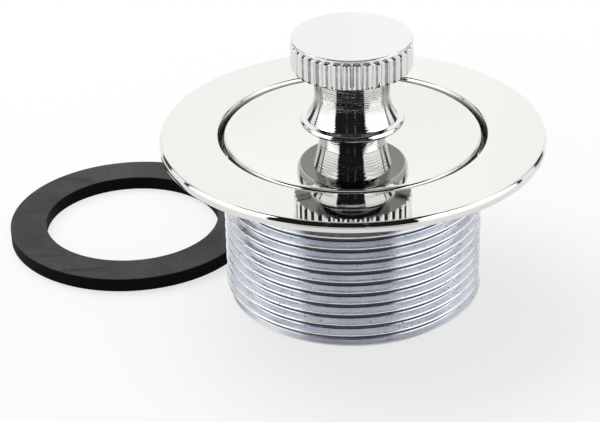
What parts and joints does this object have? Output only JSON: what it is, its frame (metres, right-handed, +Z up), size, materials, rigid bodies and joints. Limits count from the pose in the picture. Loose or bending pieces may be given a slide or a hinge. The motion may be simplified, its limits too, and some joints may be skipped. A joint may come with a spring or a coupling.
{
  "type": "lift and turn bath drain",
  "caption": "Chromed bath drain with a flanged, threaded body, a dished stopper that lifts and turns on a centre post by a fluted knob, and a flat rubber gasket beside it.",
  "frame": {"origin": "on the drain's axis, at the level of the foot of its shank, in the middle of the strainer hub's underside", "axes": "+Z up along the drain's axis towards the knob; +X to the right of the pictured view; +Y away from its camera. The loose gasket lies to the left and behind, at 155 degrees from +X"},
  "size_m": [0.1027, 0.0794, 0.0502],
  "materials": {
    "chrome": "polished chrome plate on brass",
    "brass": "turned, unplated",
    "steel": "turned stainless steel",
    "rubber": "matt black moulded rubber",
    "nylon": "natural nylon"
  },
  "bodies": {
    "drain": {"drain_body": "chrome", "lift_post": "brass", "post_lock_nut": "brass", "cam_pin": "steel", "friction_o_ring": "rubber"},
    "stopper": {"stopper_plate": "chrome", "stopper_seal": "rubber", "seal_retainer": "brass", "retainer_nut": "brass"},
    "knob": {"knob": "chrome", "knob_set_screw": "steel", "cam_sleeve": "brass", "thrust_washer": "nylon"},
    "gasket": {"gasket": "rubber"}
  },
  "joints": [
    {"name": "stopper_lift", "type": "slide", "parent": "drain", "child": "stopper", "axis": [0, 0, 1], "range_m": [0, 0.01]},
    {"name": "knob_turn", "type": "hinge", "parent": "stopper", "child": "knob", "pos_m": [0, 0, 0.02585], "axis": [0, 0, 1], "range_deg": [0, 90]},
    {"name": "gasket_aside", "type": "slide", "parent": "drain", "child": "gasket", "axis": [-0.9063, 0.4226, 0], "range_m": [0, 0.05]}
  ]
}
